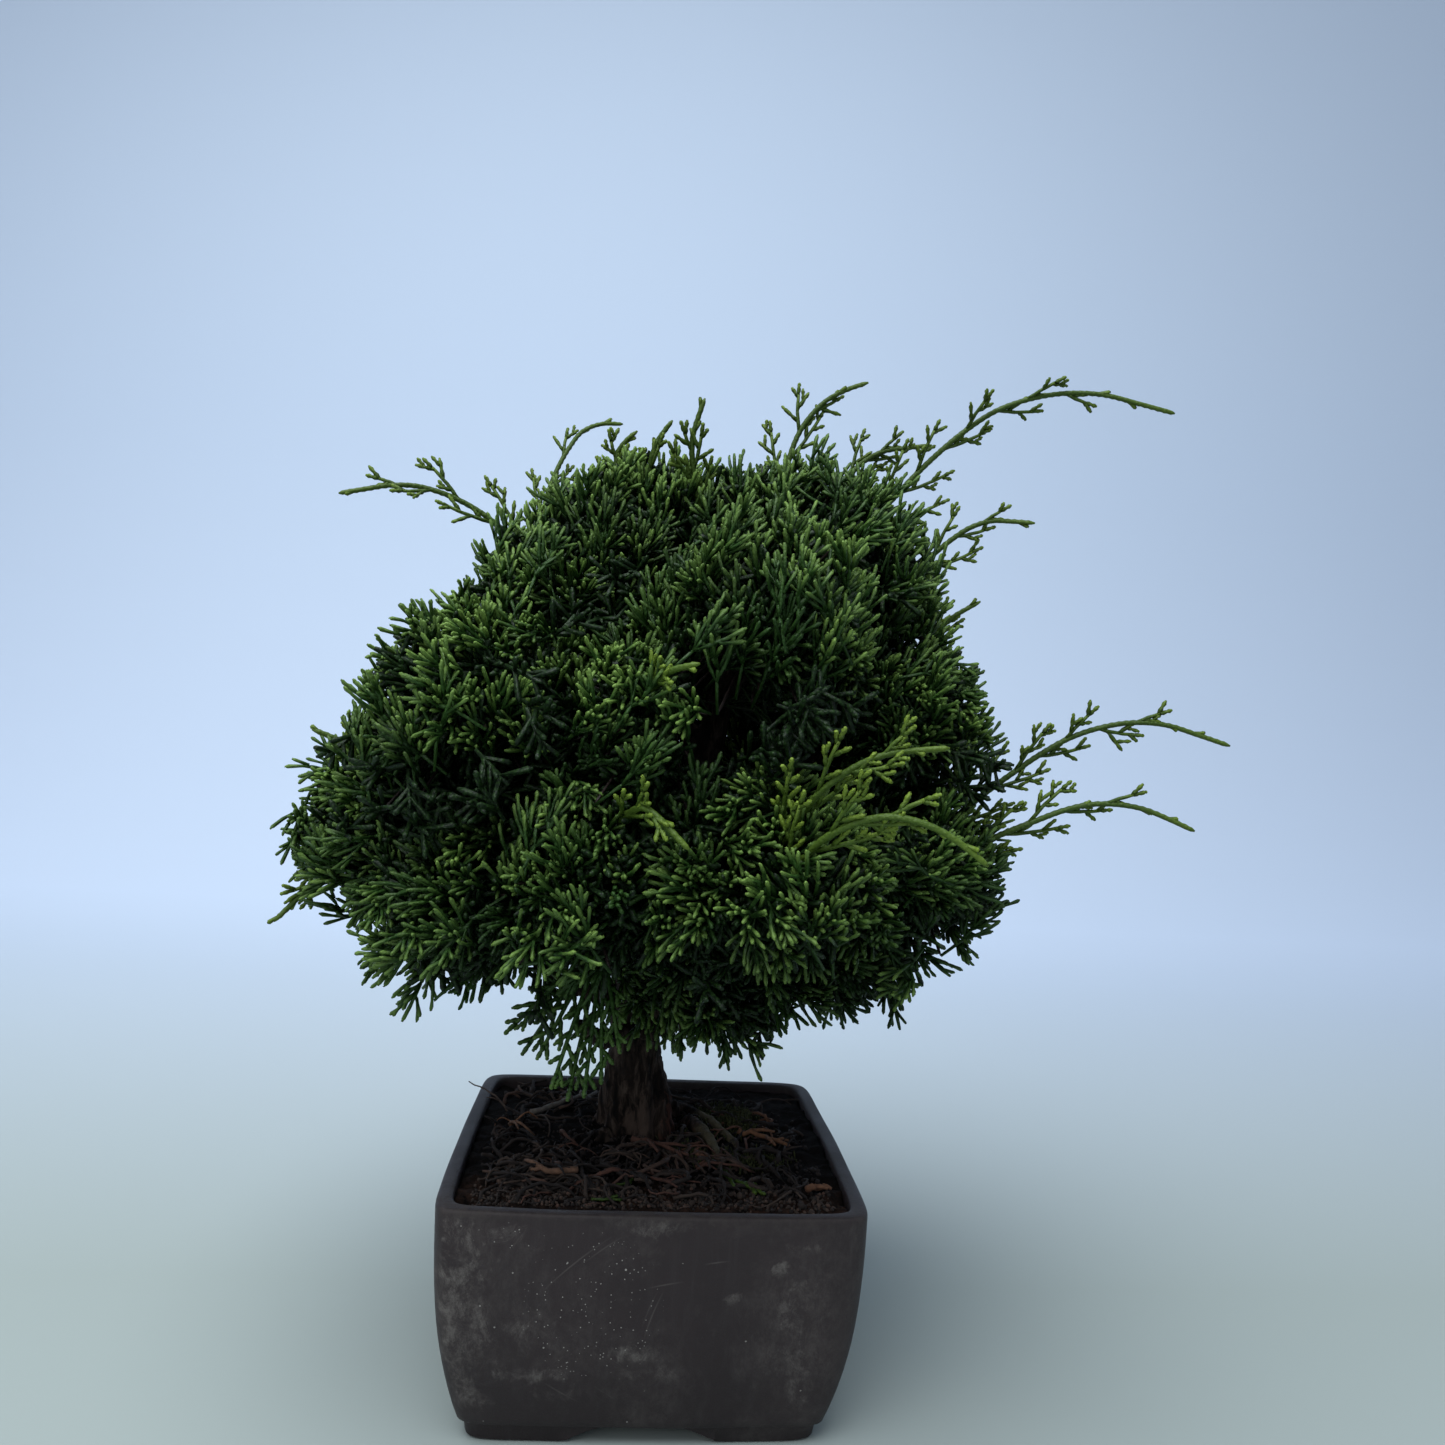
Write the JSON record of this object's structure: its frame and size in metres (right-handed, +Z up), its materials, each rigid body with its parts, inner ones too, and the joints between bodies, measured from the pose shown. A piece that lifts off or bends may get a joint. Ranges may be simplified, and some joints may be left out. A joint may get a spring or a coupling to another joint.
{
  "type": "potted bonsai tree",
  "caption": "Small juniper bonsai with a rounded, lobed evergreen crown and long young shoots, growing in a square unglazed clay pot.",
  "frame": {"origin": "bottom centre of the whole part's box, on the surface that the pot stands on", "axes": "+Z up; -Y towards the front of the tree; +X to the right, where the longest shoots point"},
  "size_m": [0.2924, 0.2084, 0.3223],
  "materials": {
    "clay": "matte",
    "netting": "matte",
    "soil": "matte",
    "bark": "matte",
    "foliage": "matte",
    "shoot": "satin",
    "deadwood": "matte",
    "moss": "matte"
  },
  "bodies": {
    "root": {"bark_flake": "deadwood", "drainage_mesh": "netting", "dry_sprig": "deadwood", "fallen_twig_corner": "deadwood", "fallen_twig_front": "deadwood", "fallen_twig_left": "deadwood", "fallen_twig_right": "deadwood", "foliage_back_centre": "foliage", "foliage_back_left": "foliage", "foliage_back_low": "foliage", "foliage_back_low_left": "foliage", "foliage_back_low_right": "foliage", "foliage_back_right": "foliage", "foliage_front_centre": "foliage", "foliage_front_left": "foliage", "foliage_front_upper": "foliage", "foliage_hanging_spray": "foliage", "foliage_low_front_centre": "foliage", "foliage_low_front_left": "foliage", "foliage_low_front_right": "foliage", "foliage_low_left": "foliage", "foliage_low_right": "foliage", "foliage_mid_right": "foliage", "foliage_top_left": "foliage", "foliage_top_right": "foliage", "foliage_under_front": "foliage", "foliage_under_right": "foliage", "foliage_upper_left": "foliage", "foliage_upper_right": "foliage", "moss_patch": "moss", "pot": "clay", "rim_twig": "deadwood", "shoot_back_left": "shoot", "shoot_front_arch_lower": "shoot", "shoot_front_arch_upper": "shoot", "shoot_front_centre": "shoot", "shoot_front_low": "shoot", "shoot_left_low": "shoot", "shoot_left_middle": "shoot", "shoot_right_long_lower": "shoot", "shoot_right_long_upper": "shoot", "shoot_right_middle": "shoot", "shoot_right_upper": "shoot", "shoot_top_far_left": "shoot", "shoot_top_left": "shoot", "shoot_top_middle": "shoot", "shoot_top_right": "shoot", "shoot_top_tall": "shoot", "shoot_upper_left": "shoot", "shoot_upper_right_long": "shoot", "soil": "soil", "trunk": "bark"}
  },
  "joints": []
}
